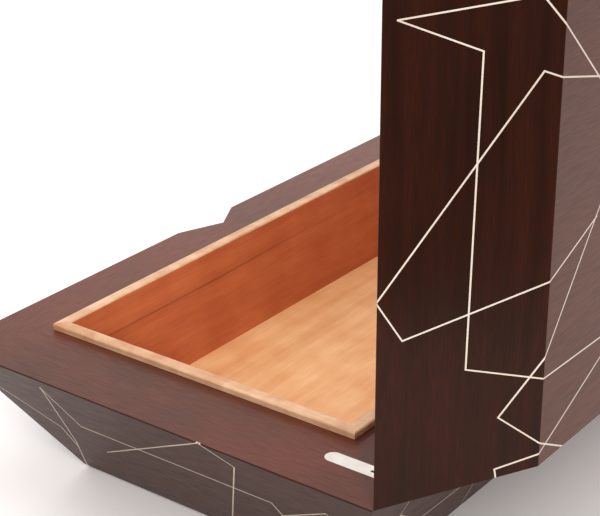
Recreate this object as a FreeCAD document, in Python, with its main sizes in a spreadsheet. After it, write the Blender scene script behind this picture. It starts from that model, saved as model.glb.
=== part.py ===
import FreeCAD, Part
import os
import re
import Sketcher
from FreeCAD import Placement, Rotation, Vector

# A faceted wooden box with a hinged lid, shown open. The base is an upside-down cut pyramid with
# wide flat rims round a cedar tray, and the lid a cut pyramid that stands on its hinge edge.
# Origin: centre of the underside. +X right, -Y front (finger notch), +Y back (hinges), +Z up.

SIZES = [
    # name, millimetres
    ("over_length", 470), ("over_depth", 300),
    ("wall_height", 86), ("inset_side", 52), ("inset_front", 54), ("inset_back", 38),
    ("rim_side", 51), ("rim_front", 35.5), ("rim_back", 46), ("rim_thick", 6),
    ("bottom_thick", 20), ("felt_thick", 1.5), ("felt_margin", 5),
    ("least_wall", 5), ("tray_lip", 4.3), ("tray_wall", 7.8), ("tray_lean", 0.18), ("tray_floor_thick", 6.5),
    ("lid_height", 70), ("lid_inset", 34), ("lid_top_thick", 10), ("lid_clearance", 0.6),
    ("lining_wall", 7.8), ("lining_setback", 6), ("ceiling_thick", 5), ("rim_gap", 0.3),
    ("notch_right", 31), ("notch_low", -3), ("notch_left", -29), ("notch_depth", 13.5),
    ("leaf_from_side", 31), ("leaf_length", 50), ("leaf_width", 9.5), ("leaf_thick", 2.5),
    ("slot_width", 1.8), ("slot_start", 8), ("slot_end", 22), ("slot_depth", 1.5),
    ("knuckle_radius", 2.4), ("knuckle_middle", 3.5), ("knuckle_gap", 0.15), ("knuckle_room", 0.3),
    ("pin_radius", 0.9), ("pin_clearance", 0.05),
    ("spigot_radius", 1.2), ("spigot_length", 3), ("spigot_near", 14), ("spigot_far", 38),
    ("string_width", 0.8), ("string_depth", 1.0),
]

doc = FreeCAD.newDocument("FacetedBox")
sheet = doc.addObject("Spreadsheet::Sheet", "Sizes")
for row, (alias, value) in enumerate(SIZES, start=1):
    sheet.set(f"A{row}", alias)
    sheet.set(f"B{row}", str(value))
    sheet.setAlias(f"B{row}", alias)
doc.recompute()

NODES = {}
SIDES = ("front", "back", "left", "right")
HINGE_SIDES = ("left", "right")


def bound(expression):
    """The expression with every size name turned into a reference to the sheet."""
    return re.sub(r"(?!max\b)\b[a-z]\w*", lambda name: "Sizes." + name.group(), expression)


def number(expression):
    """The expression's value now, in millimetres."""
    return float(sheet.evalExpression(bound(expression)))


def keep(node, label):
    """Names a finished piece, which is then written to its own file."""
    node.Label = label
    NODES[label] = node
    return node


# ---------------------------------------------------------------- levels and outlines

RIM_TOP = "(felt_thick + wall_height)"
RIM_UNDER = "(felt_thick + wall_height - rim_thick)"
LIP_TOP = "(felt_thick + wall_height + tray_lip)"
PANEL_TOP = "(felt_thick + bottom_thick)"
FLOOR_TOP = "(felt_thick + bottom_thick + tray_floor_thick)"
LID_UNDER_TOP = "(lid_height - lid_top_thick)"
CEILING_UNDER = "(lid_height - lid_top_thick - ceiling_thick)"


def kind(side):
    return "side" if side in ("left", "right") else side


def base_outer(side, level):
    """How far the base's sloping face stands in from the rim's edge at a level."""
    return f"(inset_{kind(side)} * ({RIM_TOP} - {level}) / wall_height)"


def tray_outer(side, level):
    """The tray's outer face, which the walls and rims meet: it leans in towards the floor, and by
    more where the wall behind it would otherwise be too thin at its foot."""
    needed = f"({base_outer(side, PANEL_TOP)} + least_wall - rim_{kind(side)}) / ({LIP_TOP} - {PANEL_TOP})"
    return f"(rim_{kind(side)} + max(tray_lean; {needed}) * ({LIP_TOP} - {level}))"


def tray_inner(side, level):
    return f"({tray_outer(side, level)} + tray_wall)"


def lid_outer(side, level):
    return f"(lid_inset * {level} / lid_height)"


def lid_opening(side, level):
    """The lid's inner face, which passes round the tray's lip with a clearance. It is upright, and
    leans in only where the wall would otherwise be too thin under the top."""
    at_rim = f"(rim_{kind(side)} - lid_clearance)"
    needed = f"{lid_outer(side, LID_UNDER_TOP)} + least_wall - {at_rim}"
    return f"({at_rim} + max(0; {needed}) * {level} / {LID_UNDER_TOP})"


def lining_inner(side, level):
    return f"({lid_opening(side, level)} + lining_wall)"


BASE_MITRE = {end: f"(rim_side / rim_{end})" for end in ("front", "back")}
LID_MITRE = {end: f"((rim_side - lid_clearance) / (rim_{end} - lid_clearance))" for end in ("front", "back")}
SQUARE_MITRE = {"front": "1", "back": "1"}


def place(side, offset):
    """The row coordinate of a line that stands in from one rim edge by an offset."""
    edges = {"left": "-over_length / 2 + {}", "right": "over_length / 2 - {}",
             "front": "-over_depth / 2 + {}", "back": "over_depth / 2 - {}"}
    return edges[side].format(offset)


def board_corners(side, outer, inner, mitre, level):
    """Four corners of a mitred board in plan: two on its outer edge, two on its inner edge."""
    corners = []
    if side in ("front", "back"):
        run = f"({inner(side, level)} - {outer(side, level)}) * {mitre[side]}"
        for end, edge in (("left", outer), ("right", outer), ("right", inner), ("left", inner)):
            along = outer(end, level) if edge is outer else f"({outer(end, level)} + {run})"
            corners.append((place(end, along), place(side, edge(side, level))))
    else:
        for end, edge in (("front", outer), ("back", outer), ("back", inner), ("front", inner)):
            run = f"({inner(side, level)} - {outer(side, level)}) / {mitre[end]}"
            along = outer(end, level) if edge is outer else f"({outer(end, level)} + {run})"
            corners.append((place(side, edge(side, level)), place(end, along)))
    return corners


# ---------------------------------------------------------------- drawing helpers

def plane(body, role):
    return next(item for item in body.Origin.OriginFeatures if item.Role == role)


def sketch_on(body, name, level="0", role="XY_Plane"):
    sketch = body.newObject("Sketcher::SketchObject", name)
    sketch.AttachmentSupport = (plane(body, role), [""])
    sketch.MapMode = "FlatFace"
    sketch.setExpression("AttachmentOffset.Base.z", bound(level))
    return sketch


def pin_point(sketch, geometry, end, name, across, up):
    """Holds one sketch point at two bound coordinates."""
    for direction, expression in (("X", across), ("Y", up)):
        value = number(expression)
        index = sketch.addConstraint(
            Sketcher.Constraint("Distance" + direction, -1, 1, geometry, end, value))
        sketch.renameConstraint(index, name + direction)
        sketch.setExpression("Constraints." + name + direction, bound(expression))


def draw_polygon(sketch, corners):
    """A closed outline through bound corners."""
    points = [Vector(number(across), number(up), 0) for across, up in corners]
    count = len(points)
    for index, point in enumerate(points):
        sketch.addGeometry(Part.LineSegment(point, points[(index + 1) % count]), False)
    for index in range(count):
        sketch.addConstraint(Sketcher.Constraint("Coincident", index, 2, (index + 1) % count, 1))
    for index, (across, up) in enumerate(corners):
        pin_point(sketch, index, 1, f"corner{index}", across, up)


def draw_circle(sketch, across, up, radius):
    centre = Vector(number(across), number(up), 0)
    index = sketch.addGeometry(Part.Circle(centre, Vector(0, 0, 1), number(radius)), False)
    pin_point(sketch, index, 3, f"centre{index}", across, up)
    radius_index = sketch.addConstraint(Sketcher.Constraint("Radius", index, number(radius)))
    sketch.renameConstraint(radius_index, f"radius{index}")
    sketch.setExpression(f"Constraints.radius{index}", bound(radius))


def extrude(body, sketch, feature, depth=None, upwards=False):
    """A pad or a pocket from a sketch, to a bound depth or right through, up or down."""
    step = body.newObject("PartDesign::" + feature, f"{sketch.Name}_{feature}")
    step.Profile = sketch
    step.Reversed = upwards if feature == "Pocket" else not upwards
    if depth is None:
        step.Type = "ThroughAll"
    else:
        step.setExpression("Length", bound(depth))
    doc.recompute()


def loft_board(name, side, outer, inner, mitre, low, high):
    """A mitred board between two levels, as a straight loft of its two outlines."""
    body = doc.addObject("PartDesign::Body", name)
    outlines = []
    for tag, level in (("low", low), ("high", high)):
        sketch = sketch_on(body, f"{name}_{tag}", level)
        draw_polygon(sketch, board_corners(side, outer, inner, mitre, level))
        outlines.append(sketch)
    loft = body.newObject("PartDesign::AdditiveLoft", name + "_loft")
    loft.Profile = outlines[0]
    loft.Sections = [outlines[1]]
    loft.Ruled = True
    doc.recompute()
    return body


def slab(name, outer, low, high):
    """A panel whose four edges follow the sloping faces, between two levels."""
    wedge = doc.addObject("Part::Wedge", name)
    for tag, level in (("", low), ("2", high)):
        wedge.setExpression(f"X{tag}min", bound(place("left", outer("left", level))))
        wedge.setExpression(f"X{tag}max", bound(place("right", outer("right", level))))
        wedge.setExpression(f"Z{tag}min", bound("-(" + place("back", outer("back", level)) + ")"))
        wedge.setExpression(f"Z{tag}max", bound("-(" + place("front", outer("front", level)) + ")"))
    wedge.setExpression("Ymin", bound(low))
    wedge.setExpression("Ymax", bound(high))
    wedge.Placement = Placement(Vector(0, 0, 0), Rotation(Vector(1, 0, 0), 90))
    return wedge


def panel(name, outer, edge_level, low, high):
    """A square-edged panel between the inner faces of four walls."""
    box = doc.addObject("Part::Box", name)
    left, right = place("left", outer("left", edge_level)), place("right", outer("right", edge_level))
    front, back = place("front", outer("front", edge_level)), place("back", outer("back", edge_level))
    box.setExpression("Length", bound(f"{right} - ({left})"))
    box.setExpression("Width", bound(f"{back} - ({front})"))
    box.setExpression("Height", bound(f"{high} - {low}"))
    box.setExpression("Placement.Base.x", bound(left))
    box.setExpression("Placement.Base.y", bound(front))
    box.setExpression("Placement.Base.z", bound(low))
    return box


# ---------------------------------------------------------------- inlaid lines

# Each line is a list of corners. The first number runs along the rim, 0 to 1, from the back to the
# front on a side face and from the left to the right on the others. The second runs over the face,
# 0 at the rim and 1 at its far edge. The top's two run left to right and back to front.
BASE_LINES = {
    "right": [[(0.776, 0.10), (0.767, 0.42), (0.24, 0.41), (0.22, 0.53), (0.20, 0.72), (0.27, 1.0)],
              [(0.776, 0.10), (0.883, 0.685), (0.99, 1.0)],
              [(0.761, 0.645), (0.368, 0.0), (0.30, 0.127), (0.413, 0.843), (0.42, 1.0)],
              [(1.0, 0.23), (0.877, 0.55), (0.903, 0.745)],
              [(0.0, 0.55), (0.10, 0.26), (0.222, 0.53)]],
    "left": [[(0.0, 0.38), (0.22, 0.70), (0.30, 0.20), (0.58, 0.45), (0.66, 1.0)],
             [(0.40, 0.0), (0.47, 0.62), (0.80, 0.30), (1.0, 0.55)]],
    "front": [[(0.0, 0.55), (0.16, 0.72), (0.28, 0.22), (0.40, 0.64), (0.62, 0.50), (0.70, 1.0)],
              [(0.20, 1.0), (0.34, 0.48), (0.58, 0.80), (0.83, 0.40), (1.0, 0.23)],
              [(0.74, 0.0), (0.79, 0.60), (0.90, 1.0)]],
    "back": [[(0.0, 0.38), (0.12, 0.74), (0.31, 0.30), (0.47, 0.82), (0.62, 0.696), (0.864, 0.658),
              (1.0, 0.55)],
             [(0.884, 0.0), (0.936, 0.363), (0.81, 1.0)],
             [(0.24, 0.0), (0.36, 0.55), (0.55, 0.20), (0.70, 0.48), (0.74, 1.0)]],
}
LID_LINES = {
    "right": [[(0.92, 1.0), (0.953, 0.87), (0.824, 0.09), (0.82, 0.567), (0.24, 0.541), (0.20, 1.0)],
              [(0.82, 1.0), (0.82, 0.90), (0.372, 0.0), (0.305, 0.16), (0.41, 1.0)],
              [(0.246, 1.0), (0.131, 0.746), (0.054, 1.0)],
              [(0.029, 1.0), (0.02, 0.74), (0.0, 0.75)]],
    "left": [[(0.0, 0.46), (0.15, 0.22), (0.34, 1.0)],
             [(0.40, 0.0), (0.52, 0.58), (0.86, 0.36), (1.0, 0.70)],
             [(0.74, 1.0), (0.66, 0.16), (0.19, 0.39)]],
    "front": [[(0.0, 0.70), (0.14, 0.25), (0.36, 1.0)],
              [(0.62, 1.0), (0.50, 0.34), (0.80, 0.62), (0.74, 0.0)],
              [(0.22, 0.53), (0.40, 0.20), (0.55, 0.62)]],
    "back": [[(1.0, 0.75), (0.905, 0.44), (0.884, 0.0)],
             [(0.942, 1.0), (0.82, 0.68), (0.62, 0.30), (0.47, 0.78), (0.24, 0.0)],
             [(0.0, 0.46), (0.16, 0.80), (0.33, 0.42), (0.55, 1.0)]],
    "top": [[(1.0, 0.92), (0.916, 0.784), (0.74, 0.50), (0.55, 0.0)],
            [(1.0, 0.82), (0.916, 0.784), (0.66, 0.69), (0.44, 0.86), (0.36, 1.0)],
            [(1.0, 0.41), (0.899, 0.484)],
            [(1.0, 0.246), (0.86, 0.576), (0.62, 1.0)],
            [(1.0, 0.20), (0.70, 0.19), (0.50, 0.58), (0.28, 0.40), (0.0, 0.74)],
            [(1.0, 0.054), (0.942, 0.0)],
            [(1.0, 0.029), (0.70, 0.279), (0.46, 0.16), (0.22, 0.66), (0.0, 0.34)]],
}


def face_grid(side, outer, rim_level, far_level):
    """The four corners of a sloping face: the rim's two, then the far edge's two above them."""
    low, high = [], []
    ends = ("left", "right") if side in ("front", "back") else ("back", "front")
    for level, row in ((rim_level, low), (far_level, high)):
        for end in ends:
            along = number(place(end, outer(end, level)))
            across = number(place(side, outer(side, level)))
            point = (along, across) if side in ("front", "back") else (across, along)
            row.append(Vector(point[0], point[1], number(level)))
    return low + high


def on_face(grid, along, over):
    low = grid[0] + (grid[1] - grid[0]) * along
    high = grid[2] + (grid[3] - grid[2]) * along
    return low + (high - low) * over


LONGEST_MITRE = 1.6  # half widths from the line; a corner sharper than this is cut blunt


def strip_outline(points, normal, half_width, overrun):
    """A thin closed outline about an open line: corners mitred, sharp ones blunted, ends run on."""
    points = list(points)
    first, last = points[1] - points[0], points[-1] - points[-2]
    points[0] = points[0] - first.normalize() * overrun
    points[-1] = points[-1] + last.normalize() * overrun
    left, right = [], []
    for index, point in enumerate(points):
        into = points[index] - points[index - 1] if index else points[1] - points[0]
        out = points[index + 1] - points[index] if index + 1 < len(points) else into
        into.normalize()
        out.normalize()
        turn = (normal.cross(into) + normal.cross(out))
        turn = turn * (2 * half_width / turn.dot(turn))
        sides = [[point + turn], [point - turn]]
        if turn.Length > LONGEST_MITRE * half_width:
            outer = 1 if normal.dot(into.cross(out)) > 0 else 0
            reach = half_width * (1 - 2 * outer)
            sides[outer] = [point + normal.cross(way) * reach for way in (into, out)]
        left += sides[0]
        right += sides[1]
    ring = left + right[::-1]
    return Part.Face(Part.makePolygon(ring + ring[:1]))


def inlay(name, grid, lines, inside, envelope):
    """All the inlaid lines of one face, as wide and deep as the sheet says."""
    normal = (grid[1] - grid[0]).cross(grid[2] - grid[0]).normalize()
    if normal.dot(inside - grid[0]) < 0:
        normal = normal * -1
    width, depth = number("string_width"), number("string_depth")
    strips = []
    for line in lines:
        points = [on_face(grid, along, over) for along, over in line]
        overrun = [2 * width if value in (0.0, 1.0) else 0 for end in (line[0], line[-1]) for value in end]
        outline = strip_outline(points, normal, width / 2, max(overrun))
        strips.append(outline.extrude(normal * depth))
    net = strips[0].fuse(strips[1:]).common(envelope).removeSplitter()
    feature = doc.addObject("Part::Feature", name)
    feature.Shape = net
    return feature


def cut_away(name, piece, tools):
    """A piece less the room for what is let into it, or meets it."""
    tool = doc.addObject("Part::Compound", name + "_room")
    tool.Links = tools
    cut = doc.addObject("Part::Cut", name)
    cut.Base = piece
    cut.Tool = tool
    return cut


# ---------------------------------------------------------------- hinges

AXIS_Y = "over_depth / 2"
BASE_AXIS = f"({RIM_TOP} + rim_gap / 2)"
LID_AXIS = "(-rim_gap / 2)"


def leaf_centre(side):
    sign = "" if side == "right" else "-"
    return f"{sign}(over_length / 2 - leaf_from_side)"


def leaf_blank(name, side, rim_plane, upwards):
    """A plain leaf with a half-round front end and two spigots, let in from a rim's plane."""
    body = doc.addObject("PartDesign::Body", name)
    centre = leaf_centre(side)
    front = f"({AXIS_Y} - leaf_length + leaf_width / 2)"
    low, high = f"{centre} - leaf_width / 2", f"{centre} + leaf_width / 2"
    plate = sketch_on(body, name + "_plate", rim_plane)
    draw_polygon(plate, [(low, front), (low, AXIS_Y), (high, AXIS_Y), (high, front)])
    extrude(body, plate, "Pad", "leaf_thick", upwards)
    end = sketch_on(body, name + "_end", rim_plane)
    draw_circle(end, centre, front, "leaf_width / 2")
    extrude(body, end, "Pad", "leaf_thick", upwards)
    spigots = sketch_on(body, name + "_spigots", rim_plane)
    draw_circle(spigots, centre, f"{AXIS_Y} - spigot_near", "spigot_radius")
    draw_circle(spigots, centre, f"{AXIS_Y} - spigot_far", "spigot_radius")
    extrude(body, spigots, "Pad", "leaf_thick + spigot_length", upwards)
    return body


def leaf_room(name, side, rim_plane, upwards):
    """The room cut for a leaf, deepened along the back edge for the knuckles to turn in."""
    body = leaf_blank(name, side, rim_plane, upwards)
    centre = leaf_centre(side)
    low, high = f"{centre} - leaf_width / 2", f"{centre} + leaf_width / 2"
    clear = f"{AXIS_Y} - knuckle_radius - knuckle_room"
    turn = sketch_on(body, name + "_turn", rim_plane)
    draw_polygon(turn, [(low, clear), (high, clear), (high, AXIS_Y), (low, AXIS_Y)])
    extrude(body, turn, "Pad", "knuckle_radius + knuckle_room - rim_gap / 2", upwards)
    return body


def barrel(body, tag, axis, start, length, radius, feature):
    """A round step along the hinge's axis: a knuckle, or the bore for the pin."""
    sketch = sketch_on(body, f"{body.Name}_{tag}", start, "YZ_Plane")
    draw_circle(sketch, AXIS_Y, axis, radius)
    extrude(body, sketch, feature, length, upwards=True)


def hinge_leaf(name, side, rim_plane, upwards, axis, middle):
    """A leaf with its knuckles: the lid's has the middle one, the base's the two outer ones."""
    body = leaf_blank(name, side, rim_plane, upwards)
    centre = leaf_centre(side)
    slot = sketch_on(body, name + "_slot", rim_plane)
    slot_low, slot_high = f"{centre} - slot_width / 2", f"{centre} + slot_width / 2"
    draw_polygon(slot, [(slot_low, f"{AXIS_Y} - slot_end"), (slot_high, f"{AXIS_Y} - slot_end"),
                        (slot_high, f"{AXIS_Y} - slot_start"), (slot_low, f"{AXIS_Y} - slot_start")])
    extrude(body, slot, "Pocket", "slot_depth", upwards)
    edge, inner = "leaf_width / 2", "knuckle_middle / 2"
    room = f"({inner} + knuckle_gap)"
    outer_length = f"({edge} - {room} - knuckle_gap)"
    if middle:
        gaps = [(f"{centre} - {edge}", f"{centre} - {inner}"), (f"{centre} + {inner}", f"{centre} + {edge}")]
        knuckles = [(f"{centre} - {inner}", "knuckle_middle")]
    else:
        gaps = [(f"{centre} - {room}", f"{centre} + {room}")]
        knuckles = [(f"{centre} - {edge} + knuckle_gap", outer_length), (f"{centre} + {room}", outer_length)]
    clear = f"{AXIS_Y} - knuckle_radius - knuckle_room"
    for index, (low, high) in enumerate(gaps):
        gap = sketch_on(body, f"{name}_gap{index}", rim_plane)
        draw_polygon(gap, [(low, clear), (high, clear), (high, AXIS_Y), (low, AXIS_Y)])
        extrude(body, gap, "Pocket", "leaf_thick", upwards)
    for index, (start, length) in enumerate(knuckles):
        barrel(body, f"knuckle{index}", axis, start, length, "knuckle_radius", "Pad")
    barrel(body, "bore", axis, f"{centre} - {edge}", "leaf_width", "pin_radius + pin_clearance", "Pocket")
    return body


def hinge_pin(name, side):
    pin = doc.addObject("Part::Cylinder", name)
    pin.setExpression("Radius", bound("pin_radius"))
    pin.setExpression("Height", bound("leaf_width - 2 * knuckle_gap"))
    pin.Placement = Placement(Vector(0, 0, 0), Rotation(Vector(0, 1, 0), 90))
    pin.setExpression("Placement.Base.x", bound(f"{leaf_centre(side)} - leaf_width / 2 + knuckle_gap"))
    pin.setExpression("Placement.Base.y", bound(AXIS_Y))
    pin.setExpression("Placement.Base.z", bound(BASE_AXIS))
    return pin


# ---------------------------------------------------------------- the four walls, rims and linings

def finger_notch(body):
    """The uneven V in the middle of the front edge, straight down."""
    edge = "-over_depth / 2"
    sketch = sketch_on(body, body.Name + "_notch")
    draw_polygon(sketch, [("notch_left", edge), ("notch_left", f"{edge} - 1"),
                          ("notch_right", f"{edge} - 1"), ("notch_right", edge),
                          ("notch_low", f"{edge} + notch_depth")])
    extrude(body, sketch, "Pocket", upwards=True)


def leaf_rooms(side, rooms):
    """The leaves that cross one rim board: its own, or both in the back board."""
    if side == "back":
        return list(rooms.values())
    return [rooms[side]] if side in rooms else []


def line_nets(prefix, outer, inner, mitre, rim_level, far_level, lines, inside):
    """The inlaid lines of the four sloping faces, each clipped to the mitred board that it is in."""
    nets = {}
    low, high = sorted((rim_level, far_level), key=number)
    for side in SIDES:
        board = loft_board(f"{prefix}_whole_{side}", side, outer, inner, mitre, low, high)
        grid = face_grid(side, outer, rim_level, far_level)
        nets[side] = inlay(f"{prefix}_strips_{side}", grid, lines[side], inside, board.Shape)
    return nets


# ---------------------------------------------------------------- base

MIDDLE = Vector(0, 0, number("wall_height / 2"))
base_nets = line_nets("base", base_outer, tray_outer, BASE_MITRE, RIM_TOP, "felt_thick", BASE_LINES, MIDDLE)
base_rooms = {side: leaf_room(f"base_room_{side}", side, RIM_TOP, False) for side in HINGE_SIDES}

for side in SIDES:
    wall = loft_board(f"wall_{side}", side, base_outer, tray_outer, BASE_MITRE, PANEL_TOP, RIM_UNDER)
    rim = loft_board(f"rim_{side}", side, base_outer, tray_outer, BASE_MITRE, RIM_UNDER, RIM_TOP)
    if side == "front":
        finger_notch(wall)
        finger_notch(rim)
    keep(cut_away(f"wall_{side}_cut", wall, [base_nets[side]]), f"base_wall_{side}")
    rim_tools = [base_nets[side]] + leaf_rooms(side, base_rooms)
    keep(cut_away(f"rim_{side}_cut", rim, rim_tools), f"base_rim_{side}")
    tray = loft_board(f"tray_{side}", side, tray_outer, tray_inner, SQUARE_MITRE, FLOOR_TOP, LIP_TOP)
    keep(tray, f"cedar_side_{side}")
    keep(base_nets[side], f"base_stringing_{side}")

bottom = slab("bottom", base_outer, "felt_thick", PANEL_TOP)
keep(cut_away("bottom_cut", bottom, list(base_nets.values())), "base_bottom_panel")
keep(panel("tray_floor", tray_outer, PANEL_TOP, PANEL_TOP, FLOOR_TOP), "cedar_floor")


def felt_edge(side, level):
    return f"({base_outer(side, level)} + felt_margin)"


keep(panel("felt", felt_edge, "felt_thick", "0", "felt_thick"), "base_felt")

for side in HINGE_SIDES:
    leaf = hinge_leaf(f"base_leaf_{side}", side, RIM_TOP, False, BASE_AXIS, middle=False)
    keep(leaf, f"hinge_leaf_base_{side}")
    keep(hinge_pin(f"pin_{side}", side), f"hinge_pin_{side}")


# ---------------------------------------------------------------- lid

# The lid is drawn shut, with its rim's plane at level 0, and then stood open about the hinge axis.

def stand_open(node, label):
    """The piece turned a quarter back about the hinge's axis."""
    opened = doc.addObject("Part::Compound", node.Name + "_open")
    opened.Links = [node]
    opened.Placement = Placement(Vector(0, 0, 0), Rotation(Vector(1, 0, 0), -90))
    opened.setExpression("Placement.Base.y", bound("over_depth / 2 + rim_gap / 2"))
    opened.setExpression("Placement.Base.z", bound(f"{BASE_AXIS} + over_depth / 2"))
    keep(opened, label)


def top_strips_edge(side, level):
    """The inlaid lines of the top meet those of the sloping faces on a mitre under the top's edge."""
    return f"({lid_outer(side, 'lid_height')} + lid_height - {level})"


LID_MIDDLE = Vector(0, 0, number("lid_height / 2"))
lid_nets = line_nets("lid", lid_outer, lid_opening, LID_MITRE, "0", "lid_height", LID_LINES, LID_MIDDLE)
lid_rooms = {side: leaf_room(f"lid_room_{side}", side, "0", True) for side in HINGE_SIDES}

top_layer = slab("lid_top_layer", top_strips_edge, "(lid_height - string_depth)", "lid_height")
doc.recompute()
top_edge = {side: number(place(side, lid_outer(side, "lid_height"))) for side in SIDES}
top_level = number("lid_height")
top_grid = [Vector(top_edge[end], top_edge[row], top_level)
            for row in ("back", "front") for end in ("left", "right")]
top_net = inlay("lid_strips_top", top_grid, LID_LINES["top"], LID_MIDDLE, top_layer.Shape)
side_nets = {side: cut_away(f"lid_strips_{side}_cut", lid_nets[side], [top_layer]) for side in SIDES}

for side in SIDES:
    wall = loft_board(f"lid_wall_{side}", side, lid_outer, lid_opening, LID_MITRE, "rim_thick", LID_UNDER_TOP)
    rim = loft_board(f"lid_rim_{side}", side, lid_outer, lid_opening, LID_MITRE, "0", "rim_thick")
    stand_open(cut_away(f"lid_wall_{side}_cut", wall, [side_nets[side]]), f"lid_wall_{side}")
    rim_tools = [side_nets[side]] + leaf_rooms(side, lid_rooms)
    stand_open(cut_away(f"lid_rim_{side}_cut", rim, rim_tools), f"lid_rim_{side}")
    lining = loft_board(f"lining_{side}", side, lid_opening, lining_inner, SQUARE_MITRE,
                        "lining_setback", CEILING_UNDER)
    stand_open(lining, f"lid_cedar_side_{side}")
    stand_open(side_nets[side], f"lid_stringing_{side}")

top = slab("lid_top", lid_outer, LID_UNDER_TOP, "lid_height")
stand_open(cut_away("lid_top_cut", top, list(side_nets.values()) + [top_net]), "lid_top_panel")
stand_open(top_net, "lid_stringing_top")
stand_open(panel("ceiling", lid_opening, LID_UNDER_TOP, CEILING_UNDER, LID_UNDER_TOP), "lid_cedar_ceiling")

for side in HINGE_SIDES:
    leaf = hinge_leaf(f"lid_leaf_{side}", side, "0", True, LID_AXIS, middle=True)
    stand_open(leaf, f"hinge_leaf_lid_{side}")

# ---------------------------------------------------------------- check and write

doc.recompute()
for item in doc.Objects:
    if "Invalid" in item.State or "Error" in item.State:
        raise RuntimeError(f"{item.Name} failed: {item.State}")
os.makedirs("parts", exist_ok=True)
for label, node in NODES.items():
    shape = node.Shape
    if shape.isNull() or not shape.isValid() or not shape.Solids:
        raise RuntimeError(f"{label} has no valid solid")
    shape.exportStep(f"parts/{label}.step")
    print(f"{label}: {len(shape.Solids)} solid(s), {shape.Volume / 1000:.2f} cm3")
print(len(NODES), "nodes")
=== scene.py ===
import math

import bmesh
import bpy
from mathutils import Euler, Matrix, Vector


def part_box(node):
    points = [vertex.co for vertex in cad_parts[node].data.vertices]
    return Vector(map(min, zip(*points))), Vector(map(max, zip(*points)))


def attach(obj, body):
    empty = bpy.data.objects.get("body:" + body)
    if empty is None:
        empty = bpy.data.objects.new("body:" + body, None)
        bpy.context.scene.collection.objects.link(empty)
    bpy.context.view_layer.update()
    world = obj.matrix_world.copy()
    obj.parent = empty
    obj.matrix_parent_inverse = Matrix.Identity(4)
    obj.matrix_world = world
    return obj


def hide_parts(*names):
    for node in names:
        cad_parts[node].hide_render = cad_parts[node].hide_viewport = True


# A faceted box of dark wood with pale inlaid lines, open on two leaf hinges, with a cedar tray.
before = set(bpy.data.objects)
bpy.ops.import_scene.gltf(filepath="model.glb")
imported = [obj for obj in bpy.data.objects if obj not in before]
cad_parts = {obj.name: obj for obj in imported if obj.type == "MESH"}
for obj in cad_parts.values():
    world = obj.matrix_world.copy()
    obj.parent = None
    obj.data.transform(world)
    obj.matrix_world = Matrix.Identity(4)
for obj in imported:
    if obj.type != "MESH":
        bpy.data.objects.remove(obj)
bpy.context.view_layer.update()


# ---------------------------------------------------------------- the base's boards
# Four rims, four walls and a thick bottom, each a mitred board of dark straight-grained hardwood
# that is glued to its neighbours and planed flush, so that one grain runs over each sloping face.
# The finish is a thin satin lacquer, rubbed back and waxed. The outer arrises are eased with paper.

SIDES = ("front", "back", "left", "right")
WELD = 2e-6                     # points this close in a CAD shell are one point
NEAR = 2e-5                     # points this close to a level lie in it
ARRIS = 0.0006                  # radius of an eased outer arris
ARRIS_CUTS = 3                  # flats that make up one eased arris
FACING = 0.5                    # least share of a face's normal along the way that it faces
LEVEL = 0.9                     # the same for a face that lies square across that way
ALONG = {"x": (0, 0, 0), "y": (0, 0, -90), "z": (0, 90, 0)}    # turns that lay the grain on x


def node(tree, kind, inputs=None, **settings):
    """A shader node with its settings made and each input given a value or joined to a socket."""
    made = tree.nodes.new("ShaderNode" + kind)
    for key, value in settings.items():
        setattr(made, key, value)
    for key, value in (inputs or {}).items():
        if isinstance(value, bpy.types.NodeSocket):
            tree.links.new(value, made.inputs[key])
        else:
            made.inputs[key].default_value = value
    return made


def math_node(tree, operation, first, second=0.0, clamp=False):
    return node(tree, "Math", {0: first, 1: second}, operation=operation, use_clamp=clamp).outputs[0]


def spread(tree, value, low, high, to_low=0.0, to_high=1.0):
    """A value carried from one range to another, held at both ends."""
    made = node(tree, "MapRange", {"Value": value, "From Min": low, "From Max": high,
                                   "To Min": to_low, "To Max": to_high})
    return made.outputs["Result"]


def blend(tree, share, first, second, how="MIX"):
    """Two colours mixed by a share."""
    made = tree.nodes.new("ShaderNodeMix")
    made.data_type, made.blend_type, made.clamp_factor = "RGBA", how, True
    for index, value in ((0, share), (6, first), (7, second)):
        if isinstance(value, bpy.types.NodeSocket):
            tree.links.new(value, made.inputs[index])
        else:
            made.inputs[index].default_value = value if index == 0 else (*value, 1.0)
    return made.outputs[2]


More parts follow.
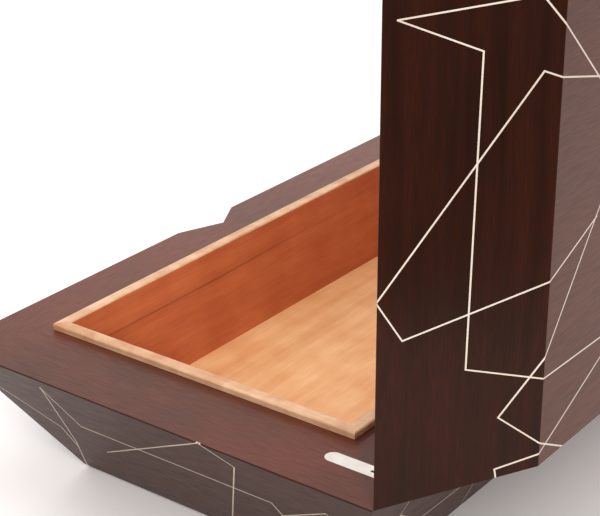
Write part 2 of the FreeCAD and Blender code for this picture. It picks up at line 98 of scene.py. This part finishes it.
def straight_grain():
    """The figure of straight-grained wood that runs along x: broad streaks, fine lines and clouds."""
    tree = bpy.data.node_groups.new("Straight grain", "ShaderNodeTree")
    for name, value in (("Streak width", 0.006), ("Line width", 0.001), ("Cloud size", 0.08),
                        ("Stretch", 25.0), ("Wander", 0.003)):
        tree.interface.new_socket(name, in_out="INPUT", socket_type="NodeSocketFloat").default_value = value
    tree.interface.new_socket("Vector", in_out="INPUT", socket_type="NodeSocketVector")
    for name in ("Streaks", "Lines", "Clouds"):
        tree.interface.new_socket(name, in_out="OUTPUT", socket_type="NodeSocketFloat")
    given = tree.nodes.new("NodeGroupInput").outputs
    drift = node(tree, "TexNoise", {"Vector": given["Vector"], "Scale": 7.0, "Detail": 1.0})
    centred = node(tree, "VectorMath", {0: drift.outputs["Color"], 1: (0.5, 0.5, 0.5)}, operation="SUBTRACT")
    pushed = node(tree, "VectorMath", {0: centred.outputs[0], "Scale": given["Wander"]}, operation="SCALE")
    moved = node(tree, "VectorMath", {0: given["Vector"], 1: pushed.outputs[0]}, operation="ADD")
    parts = node(tree, "SeparateXYZ", {0: moved.outputs[0]}).outputs
    short = math_node(tree, "DIVIDE", parts["X"], given["Stretch"])
    drawn = node(tree, "CombineXYZ", {"X": short, "Y": parts["Y"], "Z": parts["Z"]}).outputs[0]
    out = tree.nodes.new("NodeGroupOutput").inputs
    for name, width, vector, detail in (("Streaks", "Streak width", drawn, 3.0),
                                        ("Lines", "Line width", drawn, 2.0),
                                        ("Clouds", "Cloud size", given["Vector"], 2.0)):
        scale = math_node(tree, "DIVIDE", 1.0, given[width])
        noise = node(tree, "TexNoise", {"Vector": vector, "Scale": scale, "Detail": detail})
        tree.links.new(noise.outputs["Fac"], out[name])
    return tree


GRAIN = straight_grain()


def new_material(name):
    """An empty material with its shader and output joined."""
    made = bpy.data.materials.new(name)
    made.use_nodes = True
    tree = made.node_tree
    tree.nodes.clear()
    shader = node(tree, "BsdfPrincipled")
    node(tree, "OutputMaterial", {"Surface": shader.outputs[0]})
    return made, tree, shader.inputs


def grain_in(tree, along, **sizes):
    """The straight grain laid along one axis of the piece."""
    turn = tuple(math.radians(angle) for angle in ALONG[along])
    place = node(tree, "TexCoord").outputs["Object"]
    turned = node(tree, "Mapping", {"Vector": place, "Rotation": turn}).outputs[0]
    made = node(tree, "Group", node_tree=GRAIN)
    tree.links.new(turned, made.inputs["Vector"])
    for key, value in sizes.items():
        made.inputs[key.replace("_", " ").capitalize()].default_value = value
    return made.outputs


STREAK_SHARE = 0.65             # how far a streak goes from the clouded tones to its own
PORE = (0.012, 0.0040, 0.0025)  # colour of the dark pores
HAZE = (1.0, 0.45, 0.30, 1.0)   # colour of the wax's haze at a glancing angle


def dark_wood(part, along, deep, warm, streak, cloud=0.06, pores=0.5, gloss=0.13, haze=0.05):
    """Dark wood with its grain along one axis: two clouded tones, soft streaks and fine dark pores."""
    made, tree, shader = new_material(f"dark wood {part} along {along}")
    grain = grain_in(tree, along, streak_width=0.0070, line_width=0.0007, cloud_size=cloud, stretch=18.0,
                     wander=0.003)
    streaks = spread(tree, grain["Streaks"], 0.36, 0.66, 0.0, STREAK_SHARE)
    lines = spread(tree, grain["Lines"], 0.38, 0.62)
    clouds = spread(tree, grain["Clouds"], 0.34, 0.66)
    streaked = blend(tree, streaks, blend(tree, clouds, deep, warm), streak)
    colour = blend(tree, spread(tree, lines, 0.0, 1.0, pores, 0.0), streaked, PORE)
    tree.links.new(colour, shader["Base Color"])
    tree.links.new(spread(tree, lines, 0.0, 1.0, 0.42, 0.32), shader["Roughness"])
    bump = node(tree, "Bump", {"Height": lines, "Strength": 0.35, "Distance": 0.00006})
    tree.links.new(bump.outputs[0], shader["Normal"])
    shader["Specular IOR Level"].default_value = gloss
    shader["Sheen Weight"].default_value = haze
    shader["Sheen Roughness"].default_value = 0.4
    shader["Sheen Tint"].default_value = HAZE
    return made


FACE_TONES = (0.017, 0.0046, 0.0015), (0.026, 0.0056, 0.0018), (0.040, 0.0078, 0.0028)
# The rim's tones are lighter and redder than the facets': the wood's own colour with a painted sheen, the
# reddish glow the wood shows at a glancing angle, laid into the colour.
RIM_SHEEN_TONES = (0.046, 0.0135, 0.0060), (0.120, 0.0215, 0.0075), (0.095, 0.0200, 0.0080)
DARK = {along: dark_wood("face", along, *FACE_TONES) for along in ALONG}
RIM_PAINTED_SHEEN = {along: dark_wood("rim", along, *RIM_SHEEN_TONES, cloud=0.11, pores=0.3, gloss=0.2, haze=0.3)
       for along in ALONG}


def merged_copy(name):
    """A CAD node's shell with its loose triangles joined."""
    shell = bmesh.new()
    shell.from_mesh(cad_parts[name].data)
    bmesh.ops.remove_doubles(shell, verts=shell.verts, dist=WELD)
    bmesh.ops.dissolve_degenerate(shell, dist=WELD / 2, edges=shell.edges)
    return shell


def outer_faces(rims, panel, axis, towards):
    """A body's rim plane, far plane and four sloping planes as (normal, distance). The body narrows
    along one axis, towards its panel."""
    rim_low = [min(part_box(name)[0][index] for name in rims) for index in range(3)]
    rim_high = [max(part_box(name)[1][index] for name in rims) for index in range(3)]
    panel_low, panel_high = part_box(panel)
    if towards < 0:
        rim_level, wide_level, far_level = rim_high[axis], panel_high[axis], panel_low[axis]
    else:
        rim_level, wide_level, far_level = rim_low[axis], panel_low[axis], panel_high[axis]
    out = Vector((0, 0, 0))
    out[axis] = towards
    ends = [(-out, -towards * rim_level), (out, towards * far_level)]
    slopes = []
    for across in (index for index in range(3) if index != axis):
        for sign, rim_edge, panel_edge in ((-1, rim_low[across], panel_low[across]),
                                           (1, rim_high[across], panel_high[across])):
            normal = Vector((0, 0, 0))
            normal[across] = sign
            normal[axis] = -sign * (panel_edge - rim_edge) / (wide_level - rim_level)
            normal.normalize()
            slopes.append((normal, normal[across] * rim_edge + normal[axis] * rim_level))
    return ends, slopes


def arrises(ends, slopes, hinged):
    """The pairs of outer faces that meet, but for the one at the hinge, which stays crisp so that the
    open lid closes the joint behind the base."""
    pairs = [(end, slope) for end in ends for slope in slopes
             if end != ends[0] or slope[0].dot(hinged) < FACING]
    return pairs + [(first, second) for first in slopes[:2] for second in slopes[2:]]


def ease(shell, pairs, radius, cuts):
    """Rounds the arris of each pair of faces with a few flats. All the boards that share an arris
    are cut by the same planes, so it runs on over their joints."""
    for (first, first_far), (second, second_far) in pairs:
        slant = first.dot(second)
        scale = 1 - slant * slant
        on_both = (first * (first_far - slant * second_far)
                   + second * (second_far - slant * first_far)) / scale
        centre = on_both - (first + second) * radius / (1 + slant)
        for step in range(cuts):
            share = (step + 1) / (cuts + 1)
            normal = (first * (1 - share) + second * share).normalized()
            far = normal.dot(centre) + radius
            if max(normal.dot(vert.co) for vert in shell.verts) < far + WELD:
                continue
            cut = bmesh.ops.bisect_plane(shell, geom=shell.verts[:] + shell.edges[:] + shell.faces[:],
                                         dist=WELD / 10, plane_co=normal * far, plane_no=normal,
                                         clear_outer=True)
            edges = [item for item in cut["geom_cut"] if isinstance(item, bmesh.types.BMEdge)]
            bmesh.ops.triangle_fill(shell, use_beauty=True, edges=edges, normal=normal)


def finish_piece(shell, name, body, materials, pick=None):
    """A CAD node's finished copy, which rides on its body and stands for it."""
    bmesh.ops.recalc_face_normals(shell, faces=shell.faces)
    if pick:
        for face in shell.faces:
            face.material_index = pick(face)
    mesh = bpy.data.meshes.new(name + ".finished")
    shell.to_mesh(mesh)
    shell.free()
    piece = bpy.data.objects.new(name + ".finished", mesh)
    bpy.context.scene.collection.objects.link(piece)
    for material in materials:
        mesh.materials.append(material)
    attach(piece, body)
    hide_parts(name)
    return piece


def painted_sheen_top(face):
    """The rim's top takes the lighter, redder tones of painted sheen; the facets below keep the plain ones.
    """
    return 1 if face.normal.z > LEVEL else 0


BASE_ARRISES = arrises(*outer_faces([f"base_rim_{side}" for side in SIDES], "base_bottom_panel", 2, -1),
                       hinged=Vector((0, 1, 0)))
for side in SIDES:
    for board in ("rim", "wall"):
        name = f"base_{board}_{side}"
        shell = merged_copy(name)
        ease(shell, BASE_ARRISES, ARRIS, ARRIS_CUTS)
        along = "x" if side in ("front", "back") else "y"
        finish_piece(shell, name, "base", [DARK[along], RIM_PAINTED_SHEEN[along]], painted_sheen_top)


def edge_grain(face):
    """The bottom's left and right edges carry the grain of the walls above them."""
    return 1 if abs(face.normal.x) > FACING else 0


shell = merged_copy("base_bottom_panel")
ease(shell, BASE_ARRISES, ARRIS, ARRIS_CUTS)
finish_piece(shell, "base_bottom_panel", "base", [DARK["x"], DARK["y"]], edge_grain)


# ---------------------------------------------------------------- the base's inlaid lines
# Square strips of pale holly, glued into grooves about a millimetre deep on the four sloping faces
# and scraped flush with them, so that they cross, meet and turn the corners with the facets.


def holly(part, dark, light, mark):
    """Pale holly, clouded between two tones and faintly marked with fine lines."""
    made, tree, shader = new_material(f"pale holly {part}")
    grain = grain_in(tree, "y", streak_width=0.004, line_width=0.0006, stretch=12.0, wander=0.002)
    clouds = spread(tree, grain["Clouds"], 0.35, 0.65)
    ground = blend(tree, clouds, dark, light)
    lines = spread(tree, grain["Lines"], 0.40, 0.60)
    colour = blend(tree, spread(tree, lines, 0.0, 1.0, 0.22, 0.0), ground, mark)
    tree.links.new(colour, shader["Base Color"])
    tree.links.new(spread(tree, lines, 0.0, 1.0, 0.50, 0.38), shader["Roughness"])
    bump = node(tree, "Bump", {"Height": lines, "Strength": 0.25, "Distance": 0.00004})
    tree.links.new(bump.outputs[0], shader["Normal"])
    shader["Specular IOR Level"].default_value = 0.4
    return made


BASE_HOLLY = holly("base", (0.40, 0.33, 0.26), (0.48, 0.41, 0.33), (0.30, 0.23, 0.17))
for side in SIDES:
    name = f"base_stringing_{side}"
    shell = merged_copy(name)
    ease(shell, BASE_ARRISES, ARRIS, ARRIS_CUTS)
    finish_piece(shell, name, "base", [BASE_HOLLY])


# ---------------------------------------------------------------- the felt under the base
# One thin sheet of brown wool felt, cut a little smaller than the underside and stuck to it. Its
# edges are soft and its surface a mat of short fibres.

FELT_ROUND = 0.0006
FELT_FLAT = math.radians(1)     # faces that turn less than this are one face


def wool_felt():
    """Short matted fibres over soft tufts."""
    made, tree, shader = new_material("wool felt")
    place = node(tree, "TexCoord").outputs["Object"]
    fibres = node(tree, "TexNoise", {"Vector": place, "Scale": 1800.0, "Detail": 3.0}).outputs["Fac"]
    tufts = node(tree, "TexNoise", {"Vector": place, "Scale": 260.0, "Detail": 2.0}).outputs["Fac"]
    mat = math_node(tree, "ADD", math_node(tree, "MULTIPLY", fibres, 0.6),
                    math_node(tree, "MULTIPLY", tufts, 0.4))
    colour = blend(tree, spread(tree, mat, 0.35, 0.65), (0.020, 0.011, 0.008), (0.060, 0.036, 0.026))
    tree.links.new(colour, shader["Base Color"])
    bump = node(tree, "Bump", {"Height": mat, "Strength": 0.8, "Distance": 0.0003})
    tree.links.new(bump.outputs[0], shader["Normal"])
    shader["Roughness"].default_value = 0.95
    shader["Sheen Weight"].default_value = 0.35
    shader["Sheen Roughness"].default_value = 0.6
    return made


shell = merged_copy("base_felt")
bmesh.ops.dissolve_limit(shell, angle_limit=FELT_FLAT, verts=shell.verts, edges=shell.edges)
bmesh.ops.bevel(shell, geom=shell.edges[:], offset=FELT_ROUND, segments=3, profile=0.5, affect="EDGES")
felt = finish_piece(shell, "base_felt", "base", [wool_felt()])


# ---------------------------------------------------------------- the cedar tray
# Four mitred sides and a floor of Spanish cedar, sanded and left almost bare. The sides stand a few
# millimetres above the rims as a lip that the lid closes over, and the lip's edges are rounded.

LIP_ROUND = 0.0012              # radius of the lip's rounded arrises
LIP_CUTS = 4                    # flats that make up one of them
LIP_TOP = 0.3                   # least upward share of the normal of a face of the lip
GROWTH_LEVEL = 0.077            # height of the one dark growth line on the tray's boards
GROWTH_HALF = 0.0008            # half of its width
GROWTH_DRIFT = 0.007            # how far it wanders
GROWTH_FADE = -0.13, 0.03       # it fades from the second place along x to the first
LINES_ALONG = {"front": "x", "back": "x", "left": "y", "right": "y"}


def cedar(along, part, dark, light, mark, cloud=0.035):
    """Cedar with its grain along one axis, mottled between two tones, with finely marked lines."""
    made, tree, shader = new_material(f"cedar {part} along {along}")
    grain = grain_in(tree, along, streak_width=0.009, line_width=0.0009, cloud_size=cloud, stretch=26.0,
                     wander=0.008)
    streaks = spread(tree, grain["Streaks"], 0.32, 0.68)
    clouds = spread(tree, grain["Clouds"], 0.34, 0.66)
    lines = spread(tree, grain["Lines"], 0.36, 0.64)
    mottle = math_node(tree, "ADD", math_node(tree, "MULTIPLY", streaks, 0.45),
                       math_node(tree, "MULTIPLY", clouds, 0.55))
    ground = blend(tree, mottle, dark, light)
    colour = blend(tree, spread(tree, lines, 0.0, 1.0, 0.22, 0.0), ground, mark)
    if part == "side":
        place = node(tree, "TexCoord").outputs["Object"]
        at = node(tree, "SeparateXYZ", {0: place}).outputs
        drift = node(tree, "TexNoise", {"Vector": place, "Scale": 6.0, "Detail": 1.0}).outputs["Fac"]
        level = math_node(tree, "ADD", at["Z"], math_node(tree, "MULTIPLY", drift, GROWTH_DRIFT))
        gap = math_node(tree, "ABSOLUTE", math_node(tree, "SUBTRACT", level, GROWTH_LEVEL))
        thin = spread(tree, gap, 0.0, GROWTH_HALF, 0.6, 0.0)
        share = math_node(tree, "MULTIPLY", thin, spread(tree, at["X"], *GROWTH_FADE))
        colour = blend(tree, share, colour, (0.12, 0.026, 0.010))
    tree.links.new(colour, shader["Base Color"])
    tree.links.new(spread(tree, lines, 0.0, 1.0, 0.56, 0.44), shader["Roughness"])
    bump = node(tree, "Bump", {"Height": lines, "Strength": 0.3, "Distance": 0.00006})
    tree.links.new(bump.outputs[0], shader["Normal"])
    shader["Specular IOR Level"].default_value = 0.3
    return made


# Three copies of one cedar: the sides' darker, redder copy is painted shade, the floor's and ceiling's
# lighter copy is painted light, and the palest copy on the lip's top and outer face is a painted highlight.
CEDAR_SIDE_SHADE = {along: cedar(along, "side", (0.42, 0.100, 0.034), (0.56, 0.170, 0.062), (0.28, 0.065, 0.024))
              for along in ALONG}
CEDAR_EDGE_HIGHLIGHT = {along: cedar(along, "edge", (0.50, 0.25, 0.12), (0.76, 0.52, 0.33), (0.34, 0.14, 0.06), 0.012)
              for along in ("x", "y")}
CEDAR_PANEL_LIT = cedar("x", "panel", (0.71, 0.325, 0.125), (0.87, 0.53, 0.26), (0.58, 0.25, 0.10), 0.030)


def painted_highlight_faces(across, outward):
    """Picks a tray side's free edge and outer face, which take the paler cedar as a painted highlight on the
    top and painted light on the outer face.
    """
    return lambda face: 1 if face.normal.z > LIP_TOP or face.normal[across] * outward > FACING else 0


def lip_arrises(shell, across, outward):
    """The two arrises along a board's top edge, each as a pair of faces, the outer one first."""
    top = max(vert.co.z for vert in shell.verts)
    foot = min(vert.co.z for vert in shell.verts)
    pairs = []
    for sign in (outward, -outward):
        at = {}
        for level in (top, foot):
            near = [vert.co[across] for vert in shell.verts if abs(vert.co.z - level) < NEAR]
            at[level] = max(near) if sign > 0 else min(near)
        normal = Vector((0, 0, -sign * (at[top] - at[foot]) / (top - foot)))
        normal[across] = sign
        normal.normalize()
        pairs.append(((Vector((0, 0, 1)), top), (normal, normal[across] * at[top] + normal.z * top)))
    return pairs


for side in SIDES:
    name = f"cedar_side_{side}"
    shell = merged_copy(name)
    across, outward = 0 if side in ("left", "right") else 1, -1 if side in ("left", "front") else 1
    ease(shell, lip_arrises(shell, across, outward), LIP_ROUND, LIP_CUTS)
    woods = [CEDAR_SIDE_SHADE[LINES_ALONG[side]], CEDAR_EDGE_HIGHLIGHT[LINES_ALONG[side]]]
    finish_piece(shell, name, "base", woods, painted_highlight_faces(across, outward))
finish_piece(merged_copy("cedar_floor"), "cedar_floor", "base", [CEDAR_PANEL_LIT])


# ---------------------------------------------------------------- the hinges
# Two slim leaf hinges of nickel-plated brass, let in flush with the rims. Each leaf has a rounded
# front end, a slot down its middle and two spigots underneath that are pressed into the wood.

def nickel():
    """Satin nickel, brushed along the leaf and a little smeared."""
    made, tree, shader = new_material("satin nickel")
    place = node(tree, "TexCoord").outputs["Object"]
    drawn = node(tree, "Mapping", {"Vector": place, "Scale": (1.0, 0.03, 1.0)}).outputs[0]
    brushed = node(tree, "TexNoise", {"Vector": drawn, "Scale": 6000.0, "Detail": 2.0}).outputs["Fac"]
    smears = node(tree, "TexNoise", {"Vector": place, "Scale": 160.0, "Detail": 2.0}).outputs["Fac"]
    colour = blend(tree, spread(tree, smears, 0.3, 0.7), (0.70, 0.66, 0.60), (0.78, 0.75, 0.69))
    tree.links.new(colour, shader["Base Color"])
    tree.links.new(spread(tree, brushed, 0.3, 0.7, 0.30, 0.42), shader["Roughness"])
    bump = node(tree, "Bump", {"Height": brushed, "Strength": 0.15, "Distance": 0.00002})
    tree.links.new(bump.outputs[0], shader["Normal"])
    shader["Metallic"].default_value = 1.0
    return made


NICKEL = nickel()


for side in ("left", "right"):
    for body in ("base", "lid"):
        name = f"hinge_leaf_{body}_{side}"
        finish_piece(merged_copy(name), name, body, [NICKEL])
    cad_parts[f"hinge_pin_{side}"].data.materials.clear()
    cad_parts[f"hinge_pin_{side}"].data.materials.append(NICKEL)


# ---------------------------------------------------------------- the lid
# Built like the base: four rims, four walls and a top panel of the same dark wood, mitred and glued.
# The grain follows each board, and the top's runs the length of the box.

def painted_sheen_edge(face):
    """The lid's rim face takes the same lighter, redder tones of painted sheen as the base's rim tops."""
    return 1 if face.normal.y < -LEVEL else 0


LID_HOLLY = holly("lid", (0.56, 0.49, 0.41), (0.64, 0.58, 0.50), (0.42, 0.33, 0.24))
LID_ARRISES = arrises(*outer_faces([f"lid_rim_{side}" for side in SIDES], "lid_top_panel", 1, 1),
                      hinged=Vector((0, 0, -1)))
for side in SIDES:
    for board in ("rim", "wall"):
        name = f"lid_{board}_{side}"
        shell = merged_copy(name)
        ease(shell, LID_ARRISES, ARRIS, ARRIS_CUTS)
        along = "x" if side in ("front", "back") else "z"
        finish_piece(shell, name, "lid", [DARK[along], RIM_PAINTED_SHEEN[along]], painted_sheen_edge)
    name = f"lid_stringing_{side}"
    shell = merged_copy(name)
    ease(shell, LID_ARRISES, ARRIS, ARRIS_CUTS)
    finish_piece(shell, name, "lid", [LID_HOLLY])



TOP = dark_wood("top", "x", *FACE_TONES, gloss=0.2, haze=0.4)


def top_grain(face):
    """The top's face is polished; its left and right edges carry the grain of the walls."""
    return 2 if face.normal.y > LEVEL else edge_grain(face)


shell = merged_copy("lid_top_panel")
ease(shell, LID_ARRISES, ARRIS, ARRIS_CUTS)
finish_piece(shell, "lid_top_panel", "lid", [DARK["x"], DARK["z"], TOP], top_grain)
shell = merged_copy("lid_stringing_top")
ease(shell, LID_ARRISES, ARRIS, ARRIS_CUTS)
finish_piece(shell, "lid_stringing_top", "lid", [LID_HOLLY])


# ---------------------------------------------------------------- the lid's cedar lining
# Four cedar sides and a ceiling, which stop short of the lid's rim so that the tray's lip has room.

for side in SIDES:
    name = f"lid_cedar_side_{side}"
    shell = merged_copy(name)
    finish_piece(shell, name, "lid", [CEDAR_SIDE_SHADE["x" if side in ("front", "back") else "z"]])
finish_piece(merged_copy("lid_cedar_ceiling"), "lid_cedar_ceiling", "lid", [CEDAR_PANEL_LIT])


# ---------------------------------------------------------------- the floor and the light
# A sheet of white paper on the floor, four soft lights in a white room, and a black card beside the
# box that only its reflections see, as the dark side of the room.

FLOOR_HALF = 8.0


def paper():
    """Matt white paper."""
    made, tree, shader = new_material("white paper")
    place = node(tree, "TexCoord").outputs["Object"]
    tone = node(tree, "TexNoise", {"Vector": place, "Scale": 1.2, "Detail": 1.0}).outputs["Fac"]
    colour = blend(tree, tone, (0.90, 0.885, 0.88), (0.93, 0.915, 0.91))
    tree.links.new(colour, shader["Base Color"])
    shader["Roughness"].default_value = 0.8
    shader["Specular IOR Level"].default_value = 0.2
    return made


mesh = bpy.data.meshes.new("paper_floor")
mesh.from_pydata([(x * FLOOR_HALF, y * FLOOR_HALF, 0) for x, y in ((-1, -1), (1, -1), (1, 1), (-1, 1))],
                 [], [(0, 1, 2, 3)])
mesh.materials.append(paper())
floor = bpy.data.objects.new("paper_floor", mesh)
bpy.context.scene.collection.objects.link(floor)


LIGHTS_AIM = Vector((0.0, 0.03, 0.1))


def soft_light(name, place, size, power, colour=(1.0, 1.0, 1.0)):
    """A square soft box that points at the box."""
    lamp = bpy.data.lights.new(name, "AREA")
    lamp.shape, lamp.size, lamp.energy, lamp.color = "SQUARE", size, power, colour
    made = bpy.data.objects.new(name, lamp)
    made.location = place
    made.rotation_euler = (LIGHTS_AIM - Vector(place)).to_track_quat("-Z", "Y").to_euler()
    bpy.context.scene.collection.objects.link(made)
    return made


soft_light("key", place=(0.1, -2.3, 1.9), size=1.3, power=18)
soft_light("overhead", place=(-0.3, -0.1, 2.5), size=2.2, power=15)
soft_light("fill", place=(2.0, 1.6, 1.8), size=1.6, power=60, colour=(1.0, 0.93, 0.90))
soft_light("low front", place=(-1.9, -1.6, 0.9), size=1.6, power=6)
world = bpy.data.worlds.new("warm studio")
world.use_nodes = True
walls = world.node_tree.nodes["Background"].inputs
walls["Color"].default_value = (1.0, 0.965, 0.95, 1.0)
walls["Strength"].default_value = 0.78
bpy.context.scene.world = world

CARD_X, CARD_FOOT, CARD_HEAD, CARD_HALF = 0.32, 0.15, 1.2, 1.0
black, tree, shader = new_material("black card")
shader["Base Color"].default_value = (0.01, 0.01, 0.01, 1.0)
shader["Roughness"].default_value = 0.9
mesh = bpy.data.meshes.new("black_card")
mesh.from_pydata([(CARD_X, -CARD_HALF, CARD_FOOT), (CARD_X, CARD_HALF, CARD_FOOT),
                  (CARD_X, CARD_HALF, CARD_HEAD), (CARD_X, -CARD_HALF, CARD_HEAD)], [], [(0, 1, 2, 3)])
mesh.materials.append(black)
card = bpy.data.objects.new("black_card", mesh)
bpy.context.scene.collection.objects.link(card)
card.visible_camera = card.visible_shadow = card.visible_diffuse = False


# ---------------------------------------------------------------- the camera
# A long lens, close to the hinge corner and a little above it.

AZIMUTH, ELEVATION, ROLL = 126.85, 24.56, -0.19
DISTANCE = 0.95
AIM = Vector((0.1225, 0.0225, 0.1381))

lens = bpy.data.cameras.new("camera")
lens.sensor_width, lens.lens, lens.shift_y = 36.0, 101.5, 0.027
camera = bpy.data.objects.new("camera", lens)
turn, rise = math.radians(AZIMUTH), math.radians(ELEVATION)
back = Vector((math.sin(turn) * math.cos(rise), -math.cos(turn) * math.cos(rise), math.sin(rise)))
camera.location = AIM + back * DISTANCE
camera.rotation_mode = "QUATERNION"
roll = Euler((0, 0, math.radians(ROLL))).to_quaternion()
camera.rotation_quaternion = (-back).to_track_quat("-Z", "Y") @ roll
lens.clip_start, lens.clip_end = 0.01, 50.0
bpy.context.scene.collection.objects.link(camera)
bpy.context.scene.camera = camera
bpy.context.scene.view_settings.view_transform = "Standard"
